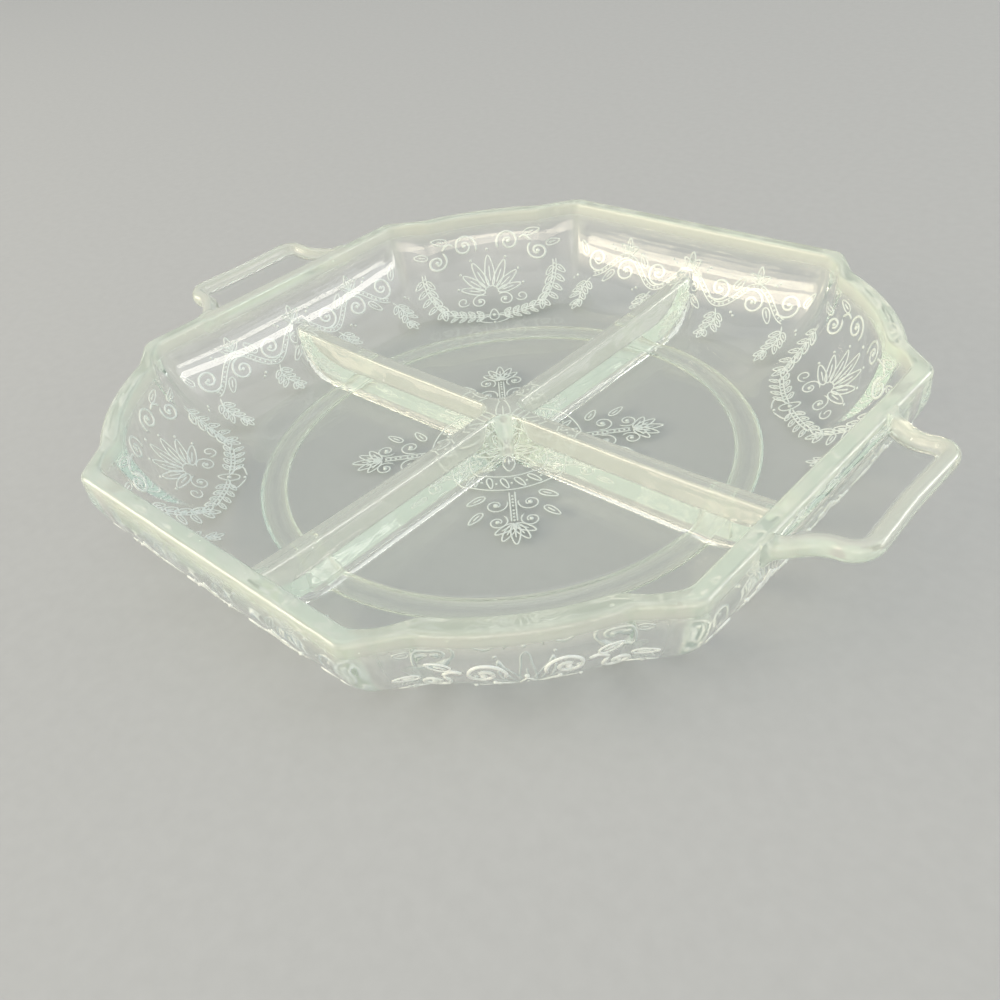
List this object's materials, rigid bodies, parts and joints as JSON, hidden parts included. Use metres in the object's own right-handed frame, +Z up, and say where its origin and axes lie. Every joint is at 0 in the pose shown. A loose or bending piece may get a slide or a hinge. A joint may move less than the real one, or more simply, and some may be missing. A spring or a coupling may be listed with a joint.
{
  "type": "relish tray",
  "caption": "Divided serving tray of clear pressed glass with a lobed rim, crossed dividers, a foot ring and solid tab handles on opposite sides.",
  "frame": {"origin": "middle of the foot ring, on the surface that the tray stands on", "axes": "+X through one handle, +Y through the middle of a plain straight side, +Z up"},
  "size_m": [0.2432, 0.2032, 0.0355],
  "materials": {
    "pressed_glass": "fire polished"
  },
  "bodies": {
    "root": {"floor_plate": "pressed_glass", "foot_ring": "pressed_glass", "wall_right": "pressed_glass", "wall_back": "pressed_glass", "wall_left": "pressed_glass", "wall_front": "pressed_glass", "corner_back_right": "pressed_glass", "corner_back_left": "pressed_glass", "corner_front_left": "pressed_glass", "corner_front_right": "pressed_glass", "rim_right": "pressed_glass", "rim_back": "pressed_glass", "rim_left": "pressed_glass", "rim_front": "pressed_glass", "rim_back_right": "pressed_glass", "rim_back_left": "pressed_glass", "rim_front_left": "pressed_glass", "rim_front_right": "pressed_glass", "divider_hub": "pressed_glass", "divider_right": "pressed_glass", "divider_back": "pressed_glass", "divider_left": "pressed_glass", "divider_front": "pressed_glass", "handle_right_border": "pressed_glass", "handle_right_web": "pressed_glass", "handle_left_border": "pressed_glass", "handle_left_web": "pressed_glass"}
  },
  "joints": []
}
